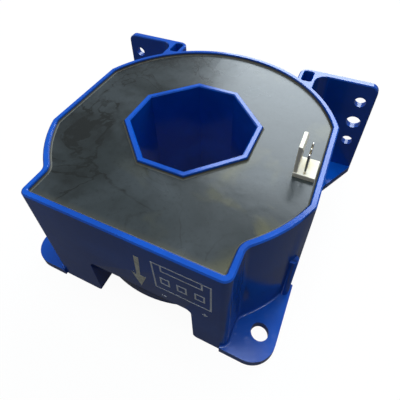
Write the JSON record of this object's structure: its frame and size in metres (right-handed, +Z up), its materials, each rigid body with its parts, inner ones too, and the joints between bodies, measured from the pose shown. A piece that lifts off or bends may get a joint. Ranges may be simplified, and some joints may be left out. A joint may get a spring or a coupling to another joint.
{
  "type": "current sensor",
  "caption": "Potted current sensor with an octagonal conductor aperture, a pin header with a locking wall, and bolt feet and ears moulded on its housing.",
  "frame": {"origin": "axis of the conductor aperture, in the plane of the housing's base", "axes": "+Z up along the aperture axis, towards the potted face; -Y towards the printed front wall; +Y towards the ear plates; +X towards the pin header"},
  "size_m": [0.11, 0.0953, 0.0563],
  "materials": {
    "housing": "glossy moulded blue thermoplastic with thin grey print on the front wall",
    "potting_resin": "glossy cast dark grey resin, faintly mottled",
    "header_body": "ivory nylon",
    "pin_tin": "tin plate over a copper alloy",
    "board": "green solder mask",
    "chip_plastic": "black moulding compound",
    "core_steel": "wound strip",
    "case_plastic": "black moulded insulation",
    "winding_copper": "enamelled copper wire",
    "can_aluminium": "drawn can on a black base",
    "diode_glass": "amber glass barrel",
    "resistor_ceramic": "black coat on ceramic"
  },
  "bodies": {
    "root": {"housing": "housing", "potting_resin": "potting_resin", "header_body": "header_body", "pin_output": "pin_tin", "pin_negative": "pin_tin", "pin_positive": "pin_tin", "circuit_board": "board", "hall_element": "chip_plastic", "magnetic_core": "core_steel", "core_case_lower": "case_plastic", "core_case_upper": "case_plastic", "secondary_winding": "winding_copper", "amplifier_chip": "chip_plastic", "transistor_a": "chip_plastic", "transistor_b": "chip_plastic", "capacitor_a": "can_aluminium", "capacitor_b": "can_aluminium", "diode_a": "diode_glass", "diode_b": "diode_glass", "resistor_a": "resistor_ceramic", "resistor_b": "resistor_ceramic", "resistor_c": "resistor_ceramic", "resistor_d": "resistor_ceramic"}
  },
  "joints": []
}
